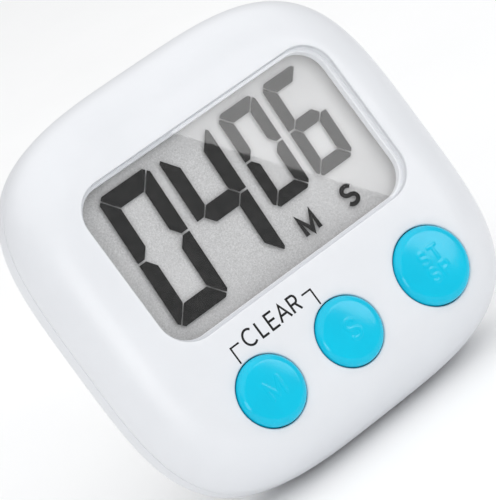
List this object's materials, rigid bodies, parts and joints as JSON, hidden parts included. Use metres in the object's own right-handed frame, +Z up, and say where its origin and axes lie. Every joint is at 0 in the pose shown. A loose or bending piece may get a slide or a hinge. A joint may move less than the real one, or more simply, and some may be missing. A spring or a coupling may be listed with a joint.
{
  "type": "kitchen timer",
  "caption": "Square digital countdown timer with a wide display, round push buttons, a holding magnet and a fold-out stand at the back.",
  "frame": {"origin": "centre of the bounding box's bottom face, on the surface that the case's back edge and the stand's foot rest on", "axes": "+X to the right seen from the front, +Y from the display to the back, +Z up; the display faces -Y and leans back"},
  "size_m": [0.065, 0.0357, 0.0594],
  "materials": {
    "shell": "glossy moulded white plastic",
    "frame_plastic": "satin moulded white plastic",
    "lens": "clear glossy window",
    "lcd_glass": "clear display glass",
    "lcd_ink": "black display segments",
    "lcd_reflector": "grey speckled reflector",
    "zebra": "striped contact rubber",
    "key_pad": "soft grey rubber",
    "board": "green solder mask",
    "epoxy": "black epoxy",
    "steel": "nickel-plated steel",
    "capacitor": "dark blue sleeve",
    "button": "glossy cyan plastic",
    "brass": "thin brass disc",
    "ceramic": "silvered ceramic",
    "cell": "printed steel can",
    "magnet": "dark ferrite"
  },
  "bodies": {
    "case": {"front_shell": "shell", "rear_shell": "shell", "window_lens": "lens", "lcd_front_glass": "lcd_glass", "lcd_segments": "lcd_ink", "lcd_rear_glass": "lcd_glass", "lcd_reflector": "lcd_reflector", "lcd_frame": "frame_plastic", "zebra_strip": "zebra", "circuit_board": "board", "chip_blob": "epoxy", "crystal": "steel", "capacitor": "capacitor", "key_pad": "key_pad", "board_screws": "steel", "buzzer_disc": "brass", "buzzer_ceramic": "ceramic", "buzzer_contacts": "steel", "battery_cell": "cell", "battery_plate": "steel", "battery_leaf": "steel", "magnet": "magnet", "stand_pin": "steel", "case_screws": "steel"},
    "m_key": {"button_m": "button"},
    "s_key": {"button_s": "button"},
    "start_key": {"button_start": "button"},
    "door": {"battery_door": "shell"},
    "flap": {"stand": "shell"}
  },
  "joints": [
    {"name": "stand_hinge", "type": "hinge", "parent": "case", "child": "flap", "pos_m": [0, 0.0073, 0.0329], "axis": [-1, 0, 0], "range_deg": [0, 37]},
    {"name": "m_push", "type": "slide", "parent": "case", "child": "m_key", "axis": [0, 0.9345, -0.3561], "range_m": [0, 0.0008], "stiffness_N_per_m": 250, "springref_m": -0.0004},
    {"name": "s_push", "type": "slide", "parent": "case", "child": "s_key", "axis": [0, 0.9345, -0.3561], "range_m": [0, 0.0008], "stiffness_N_per_m": 250, "springref_m": -0.0004},
    {"name": "start_push", "type": "slide", "parent": "case", "child": "start_key", "axis": [0, 0.9345, -0.3561], "range_m": [0, 0.0008], "stiffness_N_per_m": 250, "springref_m": -0.0004},
    {"name": "door_lift", "type": "slide", "parent": "case", "child": "door", "axis": [0, 0.9345, -0.3561], "range_m": [0, 0.03]}
  ]
}
